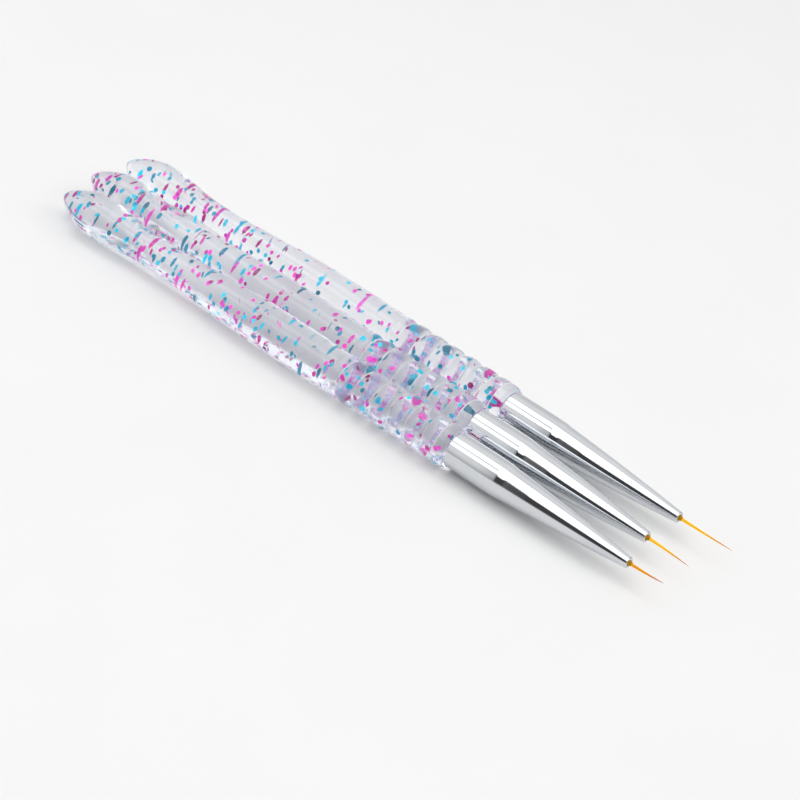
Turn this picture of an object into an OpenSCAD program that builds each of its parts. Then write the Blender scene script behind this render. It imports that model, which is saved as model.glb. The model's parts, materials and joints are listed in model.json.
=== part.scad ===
// Three matched nail-art liner brushes, lying side by side on a table.
// Each has a turned clear handle with beads, a chromed cone ferrule and a fine tuft.
// X runs along the brushes towards the tufts, Y across them and Z up.

/* [Set] */
// Distance between the axes of the medium and the long brush
long_spacing = 10; // [9.6:0.1:20]
// Distance between the axes of the medium and the short brush, at the ferrule's mouth
short_spacing = 9.3; // [9.3:0.1:20]
// Angle that the short brush's tail turns away from the medium brush
short_splay = 0.45; // [0:0.05:2]
// How far the short brush's ferrule mouth stands ahead of the medium brush's
short_ahead = 2.6; // [-10:0.1:10]
// How far the long brush's ferrule mouth stands ahead of the medium brush's
long_ahead = 0.1; // [-10:0.1:10]

/* [Handle] */
// Length from the tail's point to the ferrule's mouth
handle_l = 106.6; // [100:0.2:116]
// Diameter of the bulb, the body and the beads
handle_d = 9; // [8.4:0.1:9]
// Diameter of the neck behind the body
neck_d = 6.5; // [5.5:0.1:8]
// Distance from the tail's point to the widest part of the bulb
bulb_x = 10.8; // [9:0.1:13]
// Where the neck starts
neck_start_x = 25.8; // [20:0.1:27]
// Where the neck ends and the body starts to swell
neck_end_x = 27.8; // [27.5:0.1:32]
// Where the body reaches its full diameter
body_start_x = 57.3; // [45:0.1:62]
// Where the body starts to narrow towards the beads
body_end_x = 68.3; // [64:0.1:74]

/* [Beads] */
// Number of beads
bead_count = 6; // [3:1:6]
// Distance between beads
bead_pitch = 4.3; // [4:0.1:4.4]
// Diameter at the bottom of the notches between beads
notch_d = 8; // [7.6:0.1:8.6]
// Diameter of the shallow grooves beside the end ring and the collar
groove_d = 8.7; // [8.2:0.1:8.8]
// Length of the narrow ring between the body and the first bead
ring_l = 2.3; // [1.6:0.1:3]
// Length of the tapered collar at the ferrule's mouth
collar_l = 2.4; // [1.5:0.1:3]
// Diameter of the collar where the ferrule starts
collar_d = 7.6; // [7.5:0.1:8]

/* [Ferrule] */
// Outside diameter of the barrel
ferrule_d = 7.2; // [6.8:0.1:7.4]
// Thickness of the sheet that the ferrule is drawn from
ferrule_wall = 0.3; // [0.2:0.05:0.4]
// Length of the straight barrel
barrel_l = 11.2; // [8:0.2:12]
// Length of the rounded step between the barrel and the cone
crimp_l = 2.0; // [0.8:0.1:3]
// How much the radius drops over that step
crimp_drop = 0.18; // [0.05:0.01:0.3]
// How far the middle of the cone bulges outwards
cone_bulge = 0.13; // [0:0.01:0.2]
// Length from the mouth to the tip
ferrule_l = 41.2; // [36:0.2:46]
// Outside diameter of the tip
tip_d = 2.2; // [1.9:0.1:2.6]
// Length of the straight hole in the tip
tip_hole_l = 1.6; // [1:0.1:3]
// Diameter of the hole in the tip
tip_hole_d = 1.3; // [1.2:0.1:1.5]

/* [Tenon] */
// Diameter of the handle's tenon inside the barrel
tenon_d = 6.3; // [5.4:0.1:6.3]
// Length of the tenon
tenon_l = 8.6; // [6:0.2:9]

/* [Tufts] */
// Free length of the short tuft
short_hair_l = 7.7; // [5:0.1:9]
// Free length of the medium tuft
medium_hair_l = 9.8; // [8:0.1:11]
// Free length of the long tuft
long_hair_l = 12.2; // [10:0.1:15]
// Diameter of a tuft just outside the tip
hair_d = 0.8; // [0.6:0.05:0.9]
// Diameter of the bound bundle inside the ferrule
bundle_d = 1; // [0.8:0.05:1.1]
// Length of the bundle inside the ferrule
bundle_l = 12; // [8:0.5:16]
// Diameter of the thread that binds the bundle
thread_d = 0.2; // [0.15:0.01:0.25]
// Number of turns of the thread
thread_turns = 6; // [3:1:10]
// Length of ferrule that the epoxy fills behind the tip
epoxy_l = 8; // [5:0.5:10]

/* [Hidden] */
round_fn = 96;
small_fn = 48;

handle_r = handle_d / 2;
neck_r = neck_d / 2;
notch_r = notch_d / 2;
groove_r = groove_d / 2;
collar_r = collar_d / 2;
barrel_r = ferrule_d / 2;
bore_r = barrel_r - ferrule_wall;
tenon_r = tenon_d / 2;
tip_r = tip_d / 2;
tip_hole_r = tip_hole_d / 2;
hair_r = hair_d / 2;
bundle_r = bundle_d / 2;
thread_r = thread_d / 2;
cone_start_x = barrel_l + crimp_l;
cone_start_r = barrel_r - crimp_drop;
hole_start_x = ferrule_l - tip_hole_l;

// Along the handle, from the tail's point: the collar, the beads and the ring before them
collar_x = handle_l - collar_l;
beads_end_x = collar_x;
last_bead_l = 3.2;
collar_rise = 0.06;
beads_x = beads_end_x - last_bead_l - (bead_count - 1) * bead_pitch;
ring_x = beads_x - ring_l;

// Shape of the bulb's blunt end: the powers of its oval, and how its steps crowd towards the point
nose_power = 1.9;
nose_root = 1.3;
nose_crowding = 1.6;
nose_steps = 16;
ease_steps = 12;
arc_steps = 8;
end_steps = 6;
// Straight pieces in the ferrule's cone
cone_steps = 5;

// The bundle ends this far inside the tip, and the tuft turns about a point just outside it
bundle_gap = 0.05;
pivot_x = ferrule_l + hair_r;
// A tuft has a round base, keeps its thickness over most of its length and ends in a point
tuft_base_steps = 6;
tuft_point_power = 0.62;
tuft_end_r = 0.04;
tuft_steps = 10;

// The thread starts this far along the bundle, and its turns lie this far apart
thread_start_x = 0.6;
thread_gap = 0.02;
thread_fn = 16;

// Where each ferrule mouth is along X, before the set is centred
set_min_x = min(-handle_l, long_ahead - handle_l, short_ahead - handle_l);
set_max_x = ferrule_l + max(short_ahead + short_hair_l, medium_hair_l, long_ahead + long_hair_l);
short_tail_drop = (handle_l - bulb_x) * sin(short_splay);
set_min_y = -short_spacing - short_tail_drop - handle_r;
set_max_y = long_spacing + handle_r;
mouth_x = -(set_min_x + set_max_x) / 2;
middle_y = -(set_min_y + set_max_y) / 2;

// A smooth step from 0 to 1
function ease(t) = (1 - cos(180 * t)) / 2;
// Points of a smooth step between two stations of an outline
function eased(x0, r0, x1, r1, steps = ease_steps) =
    [for (i = [1:steps]) [x0 + (x1 - x0) * i / steps, r0 + (r1 - r0) * ease(i / steps)]];
// Points of an arc that starts at radius r0, rises to a crest and ends at radius r1
function crest(x0, r0, x1, r1, top, steps = arc_steps) =
    let (split = (x1 - x0) * sqrt(top - r0) / (sqrt(top - r0) + sqrt(top - r1)))
    [for (i = [1:steps])
        let (x = (x1 - x0) * i / steps)
        let (side = x < split ? x / split - 1 : (x - split) / (x1 - x0 - split))
        let (foot = x < split ? r0 : r1)
        [x0 + x, top - (top - foot) * side * side]];
// The bulb's blunt end
function nose() =
    [for (i = [1:nose_steps])
        let (x = bulb_x * pow(i / nose_steps, nose_crowding))
        [x, handle_r * pow(1 - pow(1 - x / bulb_x, nose_power), 1 / nose_root)]];

// The handle's outline as [distance from the tail's point, radius]
function handle_outline() = concat(
    [[0, 0]],
    nose(),
    eased(bulb_x, handle_r, neck_start_x, neck_r),
    eased(neck_end_x, neck_r, body_start_x, handle_r, 2 * ease_steps),
    eased(body_end_x, handle_r, ring_x, groove_r, end_steps),
    crest(ring_x, groove_r, beads_x, notch_r, handle_r),
    [for (i = [0:bead_count - 2])
        each crest(beads_x + i * bead_pitch, notch_r, beads_x + (i + 1) * bead_pitch, notch_r, handle_r)],
    crest(beads_end_x - last_bead_l, notch_r, beads_end_x, groove_r, handle_r),
    crest(collar_x, groove_r, handle_l, collar_r, groove_r + collar_rise, end_steps),
    [[handle_l, tenon_r], [handle_l + tenon_l, tenon_r], [handle_l + tenon_l, 0]]);

// The rounded step: it leaves the barrel level and runs into the cone at the cone's own slope
function crimp() =
    let (fall = crimp_l * (cone_start_r - tip_r - 4 * cone_bulge) / (ferrule_l - cone_start_x))
    [for (i = [1:end_steps])
        let (t = i / end_steps)
        [barrel_l + crimp_l * t, barrel_r - crimp_drop * t * t * (3 - 2 * t) + fall * t * t * (1 - t)]];

// The cone after the rounded step: nearly straight, with a slight bulge
function cone() =
    [for (i = [1:cone_steps])
        let (t = i / cone_steps)
        [cone_start_x + (ferrule_l - cone_start_x) * t,
            cone_start_r * (1 - t) + tip_r * t + 4 * cone_bulge * t * (1 - t)]];

// The ferrule's outline as [distance from the mouth, radius]: barrel, rounded step and cone
// outside, then the tip's hole, the inner cone and the bore
function ferrule_outline() = concat(
    [[0, barrel_r], [barrel_l, barrel_r]],
    crimp(),
    cone(),
    [[ferrule_l, tip_hole_r], [hole_start_x, tip_hole_r]],
    [[cone_start_x, cone_start_r - ferrule_wall], [barrel_l, bore_r], [0, bore_r]]);
// Radius of the inner cone
function inside_r(x) =
    let (t = (x - cone_start_x) / (hole_start_x - cone_start_x))
    (cone_start_r - ferrule_wall) * (1 - t) + tip_hole_r * t;

// Turns an outline given along X into a solid of revolution
module turned(outline, fn = round_fn) {
    rotate([0, 90, 0])
        rotate_extrude($fn = fn)
            polygon([for (p = outline) [p[1], p[0]]]);
}

// Puts a piece on one of the brushes: x = 0 is the ferrule's mouth
module on_short() {
    translate([mouth_x + short_ahead, middle_y - short_spacing, handle_r])
        rotate([0, 0, short_splay])
            children();
}
module on_medium() {
    translate([mouth_x, middle_y, handle_r])
        children();
}
module on_long() {
    translate([mouth_x + long_ahead, middle_y + long_spacing, handle_r])
        children();
}

// Clear turned handle with its tenon
module handle() {
    color([0.9, 0.9, 0.96, 0.5])
        translate([-handle_l, 0, 0])
            turned(handle_outline());
}

// Film of glue between the tenon and the barrel
module glue_ring() {
    color("ivory")
        turned([[0, tenon_r], [tenon_l, tenon_r], [tenon_l, bore_r], [0, bore_r]]);
}

// Drawn sheet-metal ferrule: barrel, rounded step, cone and open tip
module ferrule() {
    color("silver")
        turned(ferrule_outline());
}

// Hardened epoxy that locks the bundle in the cone
module epoxy_plug() {
    plug_start_x = hole_start_x - epoxy_l;
    color("goldenrod")
        turned([
            [plug_start_x, bundle_r], [plug_start_x, inside_r(plug_start_x)],
            [hole_start_x, tip_hole_r], [hole_start_x, bundle_r]
        ], small_fn);
}

// Glued, bound part of the filaments inside the ferrule
module hair_bundle() {
    color("darkgoldenrod")
        translate([ferrule_l - bundle_gap - bundle_l, 0, 0])
            rotate([0, 90, 0])
                cylinder(h = bundle_l, r = bundle_r, $fn = small_fn);
}

// Turns of thread round the back of the bundle
module binding_thread() {
    first_turn_x = ferrule_l - bundle_gap - bundle_l + thread_start_x;
    color("saddlebrown")
        for (i = [0:thread_turns - 1])
            translate([first_turn_x + i * (thread_d + thread_gap), 0, 0])
                rotate([0, 90, 0])
                    rotate_extrude($fn = small_fn)
                        translate([bundle_r + thread_r, 0])
                            circle(r = thread_r, $fn = thread_fn);
}

// Free filaments as one slender pointed solid with a round base at its pivot
module tuft(length) {
    reach = length - hair_r;
    round_base = [for (i = [1:tuft_base_steps])
        let (turn = 90 * i / tuft_base_steps)
        [-hair_r * cos(turn), hair_r * sin(turn)]];
    taper = [for (i = [1:tuft_steps])
        let (t = i / tuft_steps)
        [reach * t, tuft_end_r + (hair_r - tuft_end_r) * pow(1 - t, tuft_point_power)]];
    color("orange")
        translate([pivot_x, 0, 0])
            turned(concat([[-hair_r, 0]], round_base, taper, [[reach, 0]]), small_fn);
}

on_short() handle();  // short_handle
on_short() glue_ring();  // short_glue_ring
on_short() ferrule();  // short_ferrule
on_short() epoxy_plug();  // short_epoxy_plug
on_short() hair_bundle();  // short_hair_bundle
on_short() binding_thread();  // short_binding_thread
on_short() tuft(short_hair_l);  // short_tuft
on_medium() handle();  // medium_handle
on_medium() glue_ring();  // medium_glue_ring
on_medium() ferrule();  // medium_ferrule
on_medium() epoxy_plug();  // medium_epoxy_plug
on_medium() hair_bundle();  // medium_hair_bundle
on_medium() binding_thread();  // medium_binding_thread
on_medium() tuft(medium_hair_l);  // medium_tuft
on_long() handle();  // long_handle
on_long() glue_ring();  // long_glue_ring
on_long() ferrule();  // long_ferrule
on_long() epoxy_plug();  // long_epoxy_plug
on_long() hair_bundle();  // long_hair_bundle
on_long() binding_thread();  // long_binding_thread
on_long() tuft(long_hair_l);  // long_tuft
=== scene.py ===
"""Looks for a set of three nail-art liner brushes that lie side by side on a pale table.

Each brush is made along +X with its ferrule's mouth at x = 0 and is then put where the frame has it.
Lengths in names that end in _MM are millimetres; everything that reaches Blender is in metres.
"""

import json
import math
import random

import bpy
from mathutils import Matrix, Vector


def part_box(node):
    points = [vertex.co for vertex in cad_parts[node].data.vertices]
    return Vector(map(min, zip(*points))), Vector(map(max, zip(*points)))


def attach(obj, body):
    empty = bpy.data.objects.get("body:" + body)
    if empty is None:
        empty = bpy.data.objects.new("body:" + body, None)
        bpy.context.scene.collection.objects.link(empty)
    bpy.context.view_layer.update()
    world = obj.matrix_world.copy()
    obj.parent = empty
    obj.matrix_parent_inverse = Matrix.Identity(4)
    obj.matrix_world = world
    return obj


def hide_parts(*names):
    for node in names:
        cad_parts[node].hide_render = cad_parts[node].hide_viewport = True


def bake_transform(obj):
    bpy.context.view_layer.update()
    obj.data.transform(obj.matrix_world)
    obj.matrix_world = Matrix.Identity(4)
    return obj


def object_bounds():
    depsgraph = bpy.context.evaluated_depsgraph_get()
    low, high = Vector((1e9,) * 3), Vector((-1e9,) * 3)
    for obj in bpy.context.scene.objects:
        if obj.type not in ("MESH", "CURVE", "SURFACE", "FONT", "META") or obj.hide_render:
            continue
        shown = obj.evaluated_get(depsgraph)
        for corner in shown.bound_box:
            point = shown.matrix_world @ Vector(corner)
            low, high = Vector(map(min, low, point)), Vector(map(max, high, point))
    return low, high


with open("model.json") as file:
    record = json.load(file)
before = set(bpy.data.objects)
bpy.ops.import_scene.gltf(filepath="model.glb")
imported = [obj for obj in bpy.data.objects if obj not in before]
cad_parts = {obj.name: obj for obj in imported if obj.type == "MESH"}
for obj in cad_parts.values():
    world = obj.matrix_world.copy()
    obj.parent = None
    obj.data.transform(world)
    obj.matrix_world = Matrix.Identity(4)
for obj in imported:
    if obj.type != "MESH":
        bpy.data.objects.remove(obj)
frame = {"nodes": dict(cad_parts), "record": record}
cad_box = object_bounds()

MM = 0.001
BRUSHES = ("short", "medium", "long")
SEATS = {m["name"]: m for m in frame["record"]["mounts"]}


# ---------------------------------------------------------------- places and outlines


def brush_place(brush):
    """Matrix from a brush's own frame, mouth at the origin and tufts towards +X, to the row frame."""
    seat = SEATS[f"{brush}_cap_seat"]
    axis = Vector(seat["axis"]).normalized()
    mouth = Vector(seat["pos_m"]) - axis * seat["dims"]["length_mm"] * MM / 2
    up = Vector((0, 0, 1))
    turn = Matrix((axis, up.cross(axis), up)).transposed()
    return Matrix.Translation(mouth) @ turn.to_4x4()


PLACES = {b: brush_place(b) for b in BRUSHES}


def outline_of(node, place, facing):
    """Rings of a turned CAD node as (x, radius) in the brush's frame.

    Facing 1 takes the faces that look away from the axis, and -1 those that look towards it. Faces whose
    slope is under the least one are flat ends. Points closer than twice the grain count as one.
    """
    least_slope = 0.05
    grain = 0.01 * MM
    to_brush = place.inverted()
    mesh = frame["nodes"][node].data
    rings = {}
    for face in mesh.polygons:
        centre = to_brush @ face.center
        radial = Vector((0, centre.y, centre.z)).normalized()
        normal = to_brush.to_3x3() @ face.normal
        if normal.dot(radial) * facing < least_slope:
            continue
        for i in face.vertices:
            p = to_brush @ mesh.vertices[i].co
            r = math.hypot(p.y, p.z)
            rings[(round(p.x / grain), round(r / grain))] = (p.x, r)
    in_order = sorted(rings.values(), key=lambda ring: (round(ring[0] / grain), -ring[1]))
    outline = in_order[:1]
    for ring in in_order[1:]:
        if math.dist(ring, outline[-1]) > 2 * grain:
            outline.append(ring)
    return outline


def turn_at(a, b, c):
    """Angle in degrees by which an outline turns at b."""
    return math.degrees((b - a).angle(c - b))


def smooth_outline(rings, fillet, corner_deg=12.0, step=0.4 * MM, fillet_steps=3):
    """A finer outline through the same rings: curved between corners, with a small fillet at each corner.

    A ring is a corner where the outline turns by more than corner_deg.
    """
    pts = [Vector(p) for p in rings]
    corner = [
        0 < i < len(pts) - 1 and turn_at(pts[i - 1], pts[i], pts[i + 1]) > corner_deg
        for i in range(len(pts))
    ]
    out = [pts[0]]
    for i in range(len(pts) - 1):
        a, b = pts[i], pts[i + 1]
        before = a if i == 0 or corner[i] else pts[i - 1]
        after = b if i + 2 >= len(pts) or corner[i + 1] else pts[i + 2]
        span = (b - a).length
        n = max(1, math.ceil(span / step))
        start = span_tangent(before, a, b, span)
        end = span_tangent(a, b, after, span)
        first = min(fillet, span / 3) if corner[i] else 0
        last = min(fillet, span / 3) if corner[i + 1] else 0
        ts = [first / span + (1 - (first + last) / span) * k / n for k in range(n + 1)]
        piece = [hermite(a, b, start, end, t) for t in ts]
        if corner[i]:
            p0, p2 = out[-1], piece[0]
            for k in range(1, fillet_steps):
                t = k / fillet_steps
                out.append(p0 * (1 - t) ** 2 + a * 2 * t * (1 - t) + p2 * t * t)
            out.append(p2)
        out.extend(piece[1:])
    return out


def span_tangent(a, b, c, span):
    """Tangent at b of a curve through a, b and c, scaled to a span's length.

    At a corner or an end of the outline, a or c is b itself. A curve that starts there follows the span,
    and one that ends there has no tangent, so that it runs out straight.
    """
    if a == b or b == c:
        return (c - b).normalized() * span
    u, v = (b - a), (c - b)
    mixed = u / u.length * v.length + v / v.length * u.length
    return mixed.normalized() * span


def hermite(a, b, start, end, t):
    """Point at t on the cubic from a to b with those end tangents."""
    t2, t3 = t * t, t * t * t
    return (
        a * (2 * t3 - 3 * t2 + 1)
        + start * (t3 - 2 * t2 + t)
        + b * (3 * t2 - 2 * t3)
        + end * (t3 - t2)
    )


def mesh_piece(name, verts, faces, place, smooth=True):
    """A new object from vertices in the brush's frame."""
    mesh = bpy.data.meshes.new(name)
    mesh.from_pydata([place @ Vector(v) for v in verts], [], faces)
    mesh.update()
    if smooth:
        mesh.shade_smooth()
    obj = bpy.data.objects.new(name, mesh)
    bpy.context.scene.collection.objects.link(obj)
    return obj


def turned(name, outline, place, around, closed=False):
    """A solid of revolution about X. A point of the outline on the axis becomes one vertex."""
    on_axis = 1e-7
    verts, rings, faces = [], [], []
    for x, r in outline:
        if r < on_axis:
            rings.append([len(verts)])
            verts.append((x, 0, 0))
            continue
        rings.append(list(range(len(verts), len(verts) + around)))
        for k in range(around):
            a = 2 * math.pi * k / around
            verts.append((x, r * math.cos(a), r * math.sin(a)))
    pairs = list(zip(rings, rings[1:]))
    if closed:
        pairs.append((rings[-1], rings[0]))
    for one, two in pairs:
        for k in range(around):
            n = (k + 1) % around
            if len(one) == 1:
                faces.append((one[0], two[n], two[k]))
            elif len(two) == 1:
                faces.append((one[k], one[n], two[0]))
            else:
                faces.append((one[k], one[n], two[n], two[k]))
    return mesh_piece(name, verts, faces, place)


# ---------------------------------------------------------------- materials


class Nodes:
    """Short hand for building the node tree of a material or a world."""

    def __init__(self, name, kind="materials", shader="Principled BSDF"):
        self.material = getattr(bpy.data, kind).new(name)
        self.material.use_nodes = True
        self.tree = self.material.node_tree
        self.shader = self.tree.nodes[shader]

    def add(self, kind, **inputs):
        node = self.tree.nodes.new(kind)
        for key, value in inputs.items():
            name = key.replace("_", " ")
            if name in node.inputs:
                node.inputs[name].default_value = value
            else:
                setattr(node, key, value)
        return node

    def link(self, source, target):
        self.tree.links.new(source, target)

    def set(self, **inputs):
        for key, value in inputs.items():
            self.shader.inputs[key.replace("_", " ")].default_value = value

    def noise(self, scale, detail=3.0, roughness=0.5, stretch=(1, 1, 1)):
        """Noise over object coordinates, stretched along the axes."""
        coords = self.add("ShaderNodeTexCoord")
        mapping = self.add("ShaderNodeMapping")
        mapping.inputs["Scale"].default_value = stretch
        texture = self.add("ShaderNodeTexNoise", Scale=scale, Detail=detail, Roughness=roughness)
        self.link(coords.outputs["Object"], mapping.inputs["Vector"])
        self.link(mapping.outputs["Vector"], texture.inputs["Vector"])
        return texture.outputs["Fac"]

    def ramp(self, source, *stops):
        """A colour ramp of (position, colour) stops on a factor."""
        node = self.add("ShaderNodeValToRGB")
        elements = node.color_ramp.elements
        while len(elements) < len(stops):
            elements.new(0.5)
        for element, (position, colour) in zip(elements, stops):
            element.position = position
            element.color = (*colour, 1)
        self.link(source, node.inputs["Fac"])
        return node.outputs["Color"]

    def span(self, source, low, high, from_low=0.3, from_high=0.7):
        """The factor rescaled from the middle of its range to low and high."""
        node = self.add("ShaderNodeMapRange", From_Min=from_low, From_Max=from_high, To_Min=low, To_Max=high)
        self.link(source, node.inputs["Value"])
        return node.outputs["Result"]

    def math(self, operation, *values):
        """A Math node; each value is a number or a socket."""
        node = self.add("ShaderNodeMath", operation=operation)
        for socket, value in zip(node.inputs, values):
            if isinstance(value, (int, float)):
                socket.default_value = value
            else:
                self.link(value, socket)
        return node.outputs["Value"]

    def mix(self, factor, one, two):
        """Colour one where the factor is 0 and colour two where it is 1.

        Sockets 6 and 7 and output 2 are the Mix node's colours; by name it would find the number sockets.
        """
        node = self.add("ShaderNodeMix", data_type="RGBA")
        self.link(factor, node.inputs["Factor"])
        self.link(one, node.inputs[6])
        self.link(two, node.inputs[7])
        return node.outputs[2]

    def bump(self, source, strength, distance):
        node = self.add("ShaderNodeBump", Strength=strength, Distance=distance)
        self.link(source, node.inputs["Height"])
        self.link(node.outputs["Normal"], self.shader.inputs["Normal"])


# Painted light: a faint bluish glow on the acrylic's surfaces, which adds up along the rods and lightens them
PAINTED_GLOW_COLOUR = (0.55, 0.78, 1.0, 1)
PAINTED_GLOW_STRENGTH = 0.014


def acrylic(name, clarity, roughness):
    """Cast acrylic, turned and polished: a cool tint, smudges, faint waves and a faint painted glow.

    Clarity is the share of the light that passes through.
    """
    m = Nodes(name)
    m.set(Base_Color=(0.972, 0.980, 1.0, 1), IOR=1.58, Transmission_Weight=clarity)
    # Painted light: the surfaces glow faintly blue, so that the rods look lighter
    m.set(Emission_Color=PAINTED_GLOW_COLOUR, Emission_Strength=PAINTED_GLOW_STRENGTH)
    smudges = m.noise(scale=160, detail=4)
    m.link(m.span(smudges, *roughness), m.shader.inputs["Roughness"])
    waves = m.noise(scale=320, detail=1, stretch=(1, 0.4, 0.4))
    m.bump(waves, strength=0.18, distance=0.4 * MM)
    return m.material


def chrome():
    """Chrome plate on a drawn tube: bright, with faint lengthwise draw lines and handling haze."""
    m = Nodes("chrome_plate")
    m.set(Metallic=1.0)
    haze = m.noise(scale=120, detail=5)
    tone = m.ramp(haze, (0.35, (0.64, 0.66, 0.69)), (0.7, (0.70, 0.715, 0.735)))
    m.link(tone, m.shader.inputs["Base Color"])
    m.link(m.span(haze, 0.035, 0.09), m.shader.inputs["Roughness"])
    lines = m.noise(scale=900, detail=3, stretch=(0.04, 1, 1))
    m.bump(lines, strength=0.02, distance=0.04 * MM)
    return m.material


def foil(name, deep, main, bright):
    """Dyed foil glitter; each flake has its own shade, and a faint painted glow of the same colour."""
    m = Nodes(name)
    # Painted light: each flake glows faintly in its own colour, which keeps it bright and saturated in shade
    m.set(Metallic=0.5, Roughness=0.4, Specular_IOR_Level=0.2, Emission_Strength=0.24)
    geometry = m.add("ShaderNodeNewGeometry")
    shade = m.ramp(geometry.outputs["Random Per Island"], (0.05, deep), (0.4, main), (0.95, bright))
    m.link(shade, m.shader.inputs["Base Color"])
    m.link(shade, m.shader.inputs["Emission Color"])
    grain = m.noise(scale=4000, detail=2)
    m.bump(grain, strength=0.15, distance=0.01 * MM)
    return m.material


def hair(name, root, middle, tip):
    """Amber nylon filaments that redden towards their points; each has its own shade, and a faint painted
    glow of the same colour.
    """
    m = Nodes(name)
    m.set(Roughness=0.45, Specular_IOR_Level=0.25, Subsurface_Weight=0.5, Subsurface_Scale=0.4 * MM)
    # Painted light: the filaments glow faintly in their own colour, which lightens them in shade
    m.set(Subsurface_Radius=(1.0, 0.45, 0.1), Emission_Strength=0.2)
    along = m.add("ShaderNodeAttribute", attribute_name="along")
    strand = m.add("ShaderNodeNewGeometry").outputs["Random Per Island"]
    colour = m.ramp(along.outputs["Fac"], (0.0, root), (0.15, middle), (0.45, middle), (0.9, tip))
    vary = m.add("ShaderNodeHueSaturation")
    m.link(m.span(strand, 0.8, 1.12, 0, 1), vary.inputs["Value"])
    m.link(colour, vary.inputs["Color"])
    m.link(vary.outputs["Color"], m.shader.inputs["Base Color"])
    m.link(vary.outputs["Color"], m.shader.inputs["Emission Color"])
    return m.material


def hardened_glue(name, deep, light):
    """Glue that has set, a little cloudy."""
    m = Nodes(name)
    m.set(Roughness=0.4, IOR=1.52, Specular_IOR_Level=0.15)
    cloud = m.noise(scale=1500, detail=3)
    m.link(m.ramp(cloud, (0.35, deep), (0.7, light)), m.shader.inputs["Base Color"])
    m.bump(cloud, strength=0.1, distance=0.05 * MM)
    return m.material


def thread():
    """Waxed brown thread with a twist."""
    m = Nodes("waxed_thread")
    m.set(Roughness=0.6, Sheen_Weight=0.3)
    twist = m.noise(scale=6000, detail=2, stretch=(1, 0.3, 0.3))
    tone = m.ramp(twist, (0.35, (0.16, 0.06, 0.025)), (0.7, (0.34, 0.16, 0.07)))
    m.link(tone, m.shader.inputs["Base Color"])
    m.bump(twist, strength=0.4, distance=0.03 * MM)
    return m.material


def table_top():
    """Plain matt white table with the faintest mottle."""
    m = Nodes("table_top")
    m.set(Roughness=0.7, Specular_IOR_Level=0.2)
    mottle = m.noise(scale=30, detail=4)
    tone = m.ramp(mottle, (0.3, (0.865, 0.865, 0.865)), (0.7, (0.88, 0.88, 0.878)))
    m.link(tone, m.shader.inputs["Base Color"])
    return m.material


ACRYLIC = acrylic("clear_acrylic", clarity=1.0, roughness=(0.06, 0.13))
FROSTED = acrylic("frosted_acrylic", clarity=0.15, roughness=(0.3, 0.5))
CHROME = chrome()
CYAN = foil("cyan_foil", (0.0, 0.19, 0.30), (0.0, 0.38, 0.58), (0.0, 0.72, 0.95))
MAGENTA = foil("magenta_foil", (0.34, 0.004, 0.16), (0.76, 0.015, 0.42), (1.0, 0.09, 0.72))
EPOXY = hardened_glue("amber_epoxy", (0.42, 0.19, 0.0), (0.58, 0.30, 0.0))
CLEAR_GLUE = hardened_glue("clear_glue", (0.75, 0.74, 0.68), (0.88, 0.87, 0.82))
GLUED_HAIR = hardened_glue("glued_hair", (0.45, 0.17, 0.02), (0.75, 0.36, 0.05))
THREAD = thread()


def finish_piece(obj, brush, material, slot, *nodes):
    """Material and CAD body of a rigid piece, with the CAD nodes it stands for hidden; the slot is not used.
    """
    obj.data.materials.append(material)
    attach(obj, f"{brush}_brush")
    if nodes:
        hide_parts(*nodes)


# ---------------------------------------------------------------- handles and ferrules

AROUND = 96
GLUE_AROUND = 40
FIT_GAP = 0.02 * MM
HANDLE_FILLET = 0.22 * MM
RIM_FILLET = 0.25 * MM


def frost_notches(obj, place, rings):
    """Second material for the faces at the bottom of every notch, where the tool left a frosted cut."""
    least_drop = 0.01 * MM
    notches = [
        here[0]
        for before, here, after in zip(rings, rings[1:], rings[2:])
        if min(before[1], after[1]) > here[1] + least_drop
    ]
    half_width = HANDLE_FILLET / 4
    obj.data.materials.append(FROSTED)
    to_brush = place.inverted()
    for face in obj.data.polygons:
        x = (to_brush @ face.center).x
        if any(abs(x - notch) < half_width for notch in notches):
            face.material_index = 1


def make_handle(brush):
    """Clear handle: the CAD outline made smooth, a hair's breadth off the ferrule that grips its tenon.

    Returns the outline, in which the glitter has to stay.
    """
    # The outline meets the mouth twice: its outer ring ends the body, and its inner ring starts the tenon
    body, tenon = [], []
    for x, r in outline_of(f"{brush}_handle", PLACES[brush], 1):
        at_mouth = abs(x) < FIT_GAP
        if x > FIT_GAP or (at_mouth and body and body[-1][0] > -2 * FIT_GAP):
            tenon.append((x - FIT_GAP, r - FIT_GAP))
        else:
            body.append((x - FIT_GAP if at_mouth else x, r))
    rings = body + tenon + [(tenon[-1][0], 0.0)]
    outline = smooth_outline(rings, HANDLE_FILLET)
    obj = turned(f"{brush}_handle_clear", outline, PLACES[brush], AROUND)
    finish_piece(obj, brush, ACRYLIC, "clear_acrylic", f"{brush}_handle")
    frost_notches(obj, PLACES[brush], rings)
    return outline


def make_ferrule(brush):
    """Chromed ferrule: outer skin, rolled rims, and the hollow inside."""
    outer = outline_of(f"{brush}_ferrule", PLACES[brush], 1)
    inner = outline_of(f"{brush}_ferrule", PLACES[brush], -1)[::-1]
    start = [(outer[0][0], (outer[0][1] + inner[-1][1]) / 2)]
    outline = smooth_outline(start + outer + inner + start, RIM_FILLET, step=0.8 * MM)
    obj = turned(f"{brush}_ferrule_chrome", outline[:-1], PLACES[brush], AROUND, closed=True)
    finish_piece(obj, brush, CHROME, "chrome_ferrule", f"{brush}_ferrule")


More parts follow.
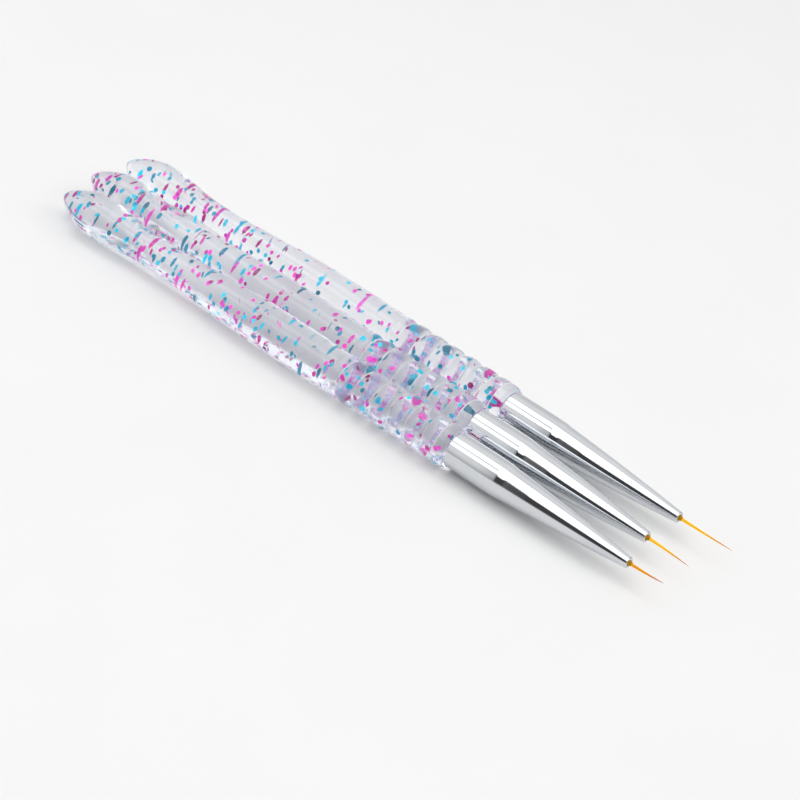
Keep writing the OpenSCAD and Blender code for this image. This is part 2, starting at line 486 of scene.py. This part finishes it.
def make_tip_glue(brush, tip_x, hole_r, root_r):
    """Bead of glue that fills the ferrule's hole and climbs the hairs."""
    rise, sink = 0.5 * MM, 0.5 * MM
    # Each ring's place along the axis and its radius
    rings = [
        (tip_x - sink, 0.0),
        (tip_x - sink, hole_r - FIT_GAP),
        (tip_x - 0.1 * MM, hole_r - FIT_GAP),
        (tip_x + 0.04 * MM, hole_r * 0.92),
        (tip_x + 0.22 * MM, hole_r * 0.66),
        (tip_x + rise, root_r),
        (tip_x + rise + 0.1 * MM, 0.0),
    ]
    outline = smooth_outline(rings, fillet=0.02 * MM, corner_deg=40.0, step=0.1 * MM)
    obj = turned(f"{brush}_tip_glue", outline, PLACES[brush], GLUE_AROUND)
    finish_piece(obj, brush, EPOXY, "amber_epoxy")


# ---------------------------------------------------------------- glitter

FLAKES = 290
FLAKE_CORNERS = 6
FLAKE_ACROSS_MM = (0.72, 0.96)
# The narrowest flake's width as a share of a regular one's
FLAKE_NARROWEST = 0.8
FLAKE_THICK = 0.02 * MM
FLAKE_INSET = 0.12 * MM
FLAKE_APART = 0.7 * MM
# Flakes settle roughly along the rod's skin; their normals stray from the radius by this much
FLAKE_TILT_DEG = 24.0


def radius_at(outline, x):
    """Radius of an outline at x."""
    for a, b in zip(outline, outline[1:]):
        if a[0] <= x <= b[0] and b[0] > a[0]:
            t = (x - a[0]) / (b[0] - a[0])
            return a[1] * (1 - t) + b[1] * t
    return 0.0


def flake(rng, centre):
    """Vertices and faces of one thin hexagonal flake that lies nearly along the skin."""
    across = rng.uniform(*FLAKE_ACROSS_MM) * MM
    corner_r = across / math.sqrt(3)
    radial = Vector((0, centre.y, centre.z))
    stray = Matrix.Rotation(math.radians(rng.gauss(0, FLAKE_TILT_DEG)), 3, "X")
    stray = stray @ Matrix.Rotation(math.radians(rng.gauss(0, FLAKE_TILT_DEG)), 3, "Y")
    spin = Matrix.Rotation(rng.uniform(0, 2 * math.pi), 3, "Z")
    turn = radial.to_track_quat("Z", "Y").to_matrix() @ stray @ spin
    wide = corner_r * rng.uniform(FLAKE_NARROWEST, 1.0)
    verts = []
    for side in (-FLAKE_THICK / 2, FLAKE_THICK / 2):
        for k in range(FLAKE_CORNERS):
            a = 2 * math.pi * k / FLAKE_CORNERS
            verts.append(centre + turn @ Vector((corner_r * math.cos(a), wide * math.sin(a), side)))
    bottom = tuple(range(FLAKE_CORNERS))
    faces = [bottom[::-1], tuple(k + FLAKE_CORNERS for k in bottom)]
    for k in bottom:
        n = (k + 1) % FLAKE_CORNERS
        faces.append((k, n, n + FLAKE_CORNERS, k + FLAKE_CORNERS))
    return verts, faces


def make_glitter(brush, outline, seed):
    """Cyan and magenta flakes spread through the handle, kept clear of its skin and of each other."""
    rng = random.Random(seed)
    x_low, x_high = outline[0][0], 0.0
    widest = FLAKE_ACROSS_MM[1] * MM
    spots = []
    while len(spots) < FLAKES:
        x = rng.uniform(x_low, x_high)
        room = radius_at(outline, x) - FLAKE_INSET - widest / 2
        if room <= 0 or x > x_high - widest:
            continue
        r, a = room * math.sqrt(rng.random()), rng.uniform(0, 2 * math.pi)
        p = Vector((x, r * math.cos(a), r * math.sin(a)))
        if all((p - q).length > FLAKE_APART for q in spots):
            spots.append(p)
    for first, colour, material in ((0, "cyan", CYAN), (1, "magenta", MAGENTA)):
        verts, faces = [], []
        for p in spots[first::2]:
            flake_verts, flake_faces = flake(rng, p)
            faces += [tuple(i + len(verts) for i in face) for face in flake_faces]
            verts += flake_verts
        obj = mesh_piece(f"{brush}_glitter_{colour}", verts, faces, PLACES[brush], smooth=False)
        # Light scattered by the table passes the flakes, which keeps their shadows as faint as the real ones
        obj.visible_diffuse = False
        finish_piece(obj, brush, material, f"{colour}_foil")


# ---------------------------------------------------------------- tufts

STRANDS = 84
STRAND_SIDES = 6
STRAND_STEPS = 16
STRAND_R = 0.042 * MM
STRAND_TIP_R = 0.010 * MM
STRAND_SUNK = 1.0 * MM
# How unlike the strands are: radians at the root and by the point, and the share that the shortest lacks
STRAND_JITTER = 0.2
STRAND_DRIFT = 0.35
STRAND_SHORTFALL = 0.3
GOLDEN_ANGLE = math.pi * (3 - math.sqrt(5))
# The tuft narrows towards its point by this power of the length that is left
TUFT_POINT_POWER = 0.72
# Wetted and drawn together, the filaments fill this share of the space that the CAD tuft gives them
TUFT_GATHER = 0.82
# How far each tuft's point stands above or below its brush's axis
TUFT_SAG = {"short": 0.40 * MM, "medium": -0.45 * MM, "long": 0.15 * MM}
TUFT_COLOURS = {
    "short": ((0.82, 0.46, 0.002), (0.84, 0.36, 0.002), (0.58, 0.10, 0.02)),
    "medium": ((0.88, 0.50, 0.0), (1.0, 0.57, 0.0), (0.62, 0.18, 0.04)),
    "long": ((0.88, 0.52, 0.0), (1.0, 0.57, 0.0), (0.68, 0.22, 0.03)),
}


def make_tuft(brush, tip_x, seed):
    """Separate tapered filaments that rise out of the ferrule, draw together and end in a point.

    Returns the radius of the tuft's root.
    """
    rng = random.Random(seed)
    low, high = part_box(f"{brush}_tuft")
    place = PLACES[brush]
    to_brush = place.inverted()
    end_x = (to_brush @ Vector((high.x, (low.y + high.y) / 2, (low.z + high.z) / 2))).x
    root_r = (high.z - low.z) / 2
    length = end_x - tip_x
    verts, faces, along = [], [], []
    for i in range(STRANDS):
        spread = math.sqrt((i + 0.5) / STRANDS)
        angle = i * GOLDEN_ANGLE + rng.uniform(-STRAND_JITTER, STRAND_JITTER)
        reach = length * (1 - STRAND_SHORTFALL * rng.random() ** 2 * spread)
        drift = rng.uniform(-STRAND_DRIFT, STRAND_DRIFT)
        base = len(verts)
        for k in range(STRAND_STEPS + 1):
            t = k / STRAND_STEPS
            x = tip_x - STRAND_SUNK + (reach + STRAND_SUNK) * t
            free = max(0.0, (x - tip_x) / length)
            hull = (root_r * TUFT_GATHER - STRAND_R) * (1 - free) ** TUFT_POINT_POWER
            r = spread * hull
            a = angle + drift * free
            thick = STRAND_R + (STRAND_TIP_R - STRAND_R) * t**2
            centre = Vector((x, r * math.cos(a), r * math.sin(a) + TUFT_SAG[brush] * free**2))
            for s in range(STRAND_SIDES):
                b = 2 * math.pi * s / STRAND_SIDES
                verts.append(centre + Vector((0, thick * math.cos(b), thick * math.sin(b))))
                along.append(free)
        for k in range(STRAND_STEPS):
            for s in range(STRAND_SIDES):
                n = (s + 1) % STRAND_SIDES
                p, q = base + k * STRAND_SIDES, base + (k + 1) * STRAND_SIDES
                faces.append((p + s, p + n, q + n, q + s))
        faces.append(tuple(range(base, base + STRAND_SIDES))[::-1])
        last = base + STRAND_STEPS * STRAND_SIDES
        faces.append(tuple(range(last, last + STRAND_SIDES)))
    obj = mesh_piece(f"{brush}_hairs", verts, faces, place)
    attribute = obj.data.attributes.new("along", "FLOAT", "POINT")
    attribute.data.foreach_set("value", along)
    obj.data.materials.append(hair(f"{brush}_nylon", *TUFT_COLOURS[brush]))
    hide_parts(f"{brush}_tuft")
    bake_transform(obj)
    return root_r


# Materials of the CAD nodes that are shown as they are
INNER_NODES = {
    "glue_ring": CLEAR_GLUE,
    "epoxy_plug": EPOXY,
    "hair_bundle": GLUED_HAIR,
    "binding_thread": THREAD,
}
GLITTER_SEED = 25
TUFT_SEED = 71

for number, brush in enumerate(BRUSHES):
    handle_outline = make_handle(brush)
    make_ferrule(brush)
    make_glitter(brush, handle_outline, GLITTER_SEED + number)
    bore = outline_of(f"{brush}_ferrule", PLACES[brush], -1)
    tip_x, hole_r = bore[-1]
    root_r = make_tuft(brush, tip_x, TUFT_SEED + number)
    make_tip_glue(brush, tip_x, hole_r, root_r)
    for node, material in INNER_NODES.items():
        data = frame["nodes"][f"{brush}_{node}"].data
        data.materials.clear()
        data.materials.append(material)


# ---------------------------------------------------------------- table, camera and lights

middle = (cad_box[0] + cad_box[1]) / 2
mouth = PLACES["medium"].translation

TABLE_SIZE = 6.0
bpy.ops.mesh.primitive_plane_add(size=TABLE_SIZE, location=(middle.x, middle.y, cad_box[0].z))
table = bpy.context.object
table.name = "table"
table.data.materials.append(table_top())

# The camera's place from the medium brush's ferrule mouth, and how it is turned
CAMERA_OFFSET = Vector((0.2160, -0.3413, 0.2735))
CAMERA_HEADING = 34.49
CAMERA_PITCH = 33.92
CAMERA_ROLL = 12.35
CAMERA_LENS = 116.16
CAMERA_SENSOR = 36

camera_data = bpy.data.cameras.new("camera")
camera_data.lens = CAMERA_LENS
camera_data.sensor_width = CAMERA_SENSOR
camera = bpy.data.objects.new("camera", camera_data)
bpy.context.scene.collection.objects.link(camera)
camera.matrix_world = (
    Matrix.Translation(mouth + CAMERA_OFFSET)
    @ Matrix.Rotation(math.radians(CAMERA_HEADING), 4, "Z")
    @ Matrix.Rotation(math.radians(90 - CAMERA_PITCH), 4, "X")
    @ Matrix.Rotation(math.radians(CAMERA_ROLL), 4, "Z")
)
bpy.context.scene.camera = camera


def softbox(name, direction, distance, width, height, radiance):
    """A rectangular area light that faces the brushes; radiance 1 looks as bright as a lit white sheet."""
    data = bpy.data.lights.new(name, "AREA")
    data.shape = "RECTANGLE"
    data.size, data.size_y = width, height
    data.energy = math.pi * width * height * radiance
    light = bpy.data.objects.new(name, data)
    bpy.context.scene.collection.objects.link(light)
    towards = Vector(direction).normalized()
    light.location = middle + towards * distance
    light.rotation_mode = "QUATERNION"
    light.rotation_quaternion = towards.to_track_quat("Z", "Y")
    light.visible_camera = False
    return light


softbox("key", direction=(0.70, 0.35, 0.65), distance=0.9, width=0.50, height=0.50, radiance=2.0)

# Overhead panels: two with a gap between them, above the handles' side, and a long one above the tufts' side.
# Their edges (left, right, front, back) are multiples of their height.
PANEL_HEIGHT = 0.8
PANEL_RADIANCE = 1.5
PANELS = {
    "panel_front": (-0.95, -0.34, -0.84, -0.40),
    "panel_back": (-0.95, -0.34, -0.20, 0.25),
    "panel_right": (-0.34, 0.22, -1.10, 0.25),
}
for name, (left, right, front, back) in PANELS.items():
    width, depth = (right - left) * PANEL_HEIGHT, (back - front) * PANEL_HEIGHT
    panel = softbox(name, (0, 0, 1), PANEL_HEIGHT, width, depth, PANEL_RADIANCE)
    panel.location = middle + PANEL_HEIGHT * Vector(((left + right) / 2, (front + back) / 2, 1))


# Brightness of the tent round the brushes, as (angle, level) stops. The angle runs round the brushes' axis:
# 0 is the front horizon (-Y), 90 is overhead and 180 the back horizon. The first row is for directions that
# lean towards the handles, the second for those nearly square to the brushes, where the tent is open and
# dark low in front, and the third for all others.
TENT_LEFT = (
    (-4, 0.55), (2, 0.57), (13, 0.70), (26, 0.92), (120, 0.98),
    (135, 0.94), (148, 0.8), (180, 0.7),
)
TENT_RIGHT = (
    (-4, 0.6), (3, 0.55), (8, 0.06), (40, 0.06), (60, 0.3),
    (80, 0.8), (130, 1.0), (150, 0.9), (180, 0.7),
)
TENT_FAR = (
    (-10, 0.6), (12, 0.2), (32, 0.2), (50, 0.7), (95, 0.75),
    (118, 0.35), (150, 0.3), (180, 0.6),
)
# The x of the directions between which one row gives way to the next
FAR_TO_LEFT = (-0.78, -0.68)
LEFT_TO_RIGHT = (-0.425, -0.275)
RIGHT_TO_FAR = (-0.16, 0.0)


def studio():
    """The world: a white tent with the rows of brightness above."""
    w = Nodes("studio", "worlds", "Background")
    axes = w.add("ShaderNodeSeparateXYZ")
    w.link(w.add("ShaderNodeTexCoord").outputs["Generated"], axes.inputs["Vector"])
    x, y, z = axes.outputs
    turn = w.math("ARCTAN2", z, w.math("MULTIPLY", y, -1.0))
    share = w.math("MULTIPLY_ADD", turn, 1 / (2 * math.pi), 0.5)

    def bands(stops):
        return w.ramp(share, *[((angle + 180) / 360, (level, level, level)) for angle, level in stops])

    near = w.mix(w.span(x, 0, 1, *LEFT_TO_RIGHT), bands(TENT_LEFT), bands(TENT_RIGHT))
    far_left = w.span(x, 1, 0, *FAR_TO_LEFT)
    far_right = w.span(x, 0, 1, *RIGHT_TO_FAR)
    along = w.math("MAXIMUM", far_left, far_right)
    w.link(w.mix(along, near, bands(TENT_FAR)), w.shader.inputs["Color"])
    w.shader.inputs["Strength"].default_value = 1.0
    return w.material


bpy.context.scene.world = studio()

# Light runs a long way along the clear rods before it leaves them
bpy.context.scene.cycles.max_bounces = 32
bpy.context.scene.cycles.transmission_bounces = 32
bpy.context.scene.cycles.glossy_bounces = 16
# Keeps the light that the rods focus on the table almost sharp
bpy.context.scene.cycles.blur_glossy = 0.3

bpy.context.scene.view_settings.view_transform = "Standard"
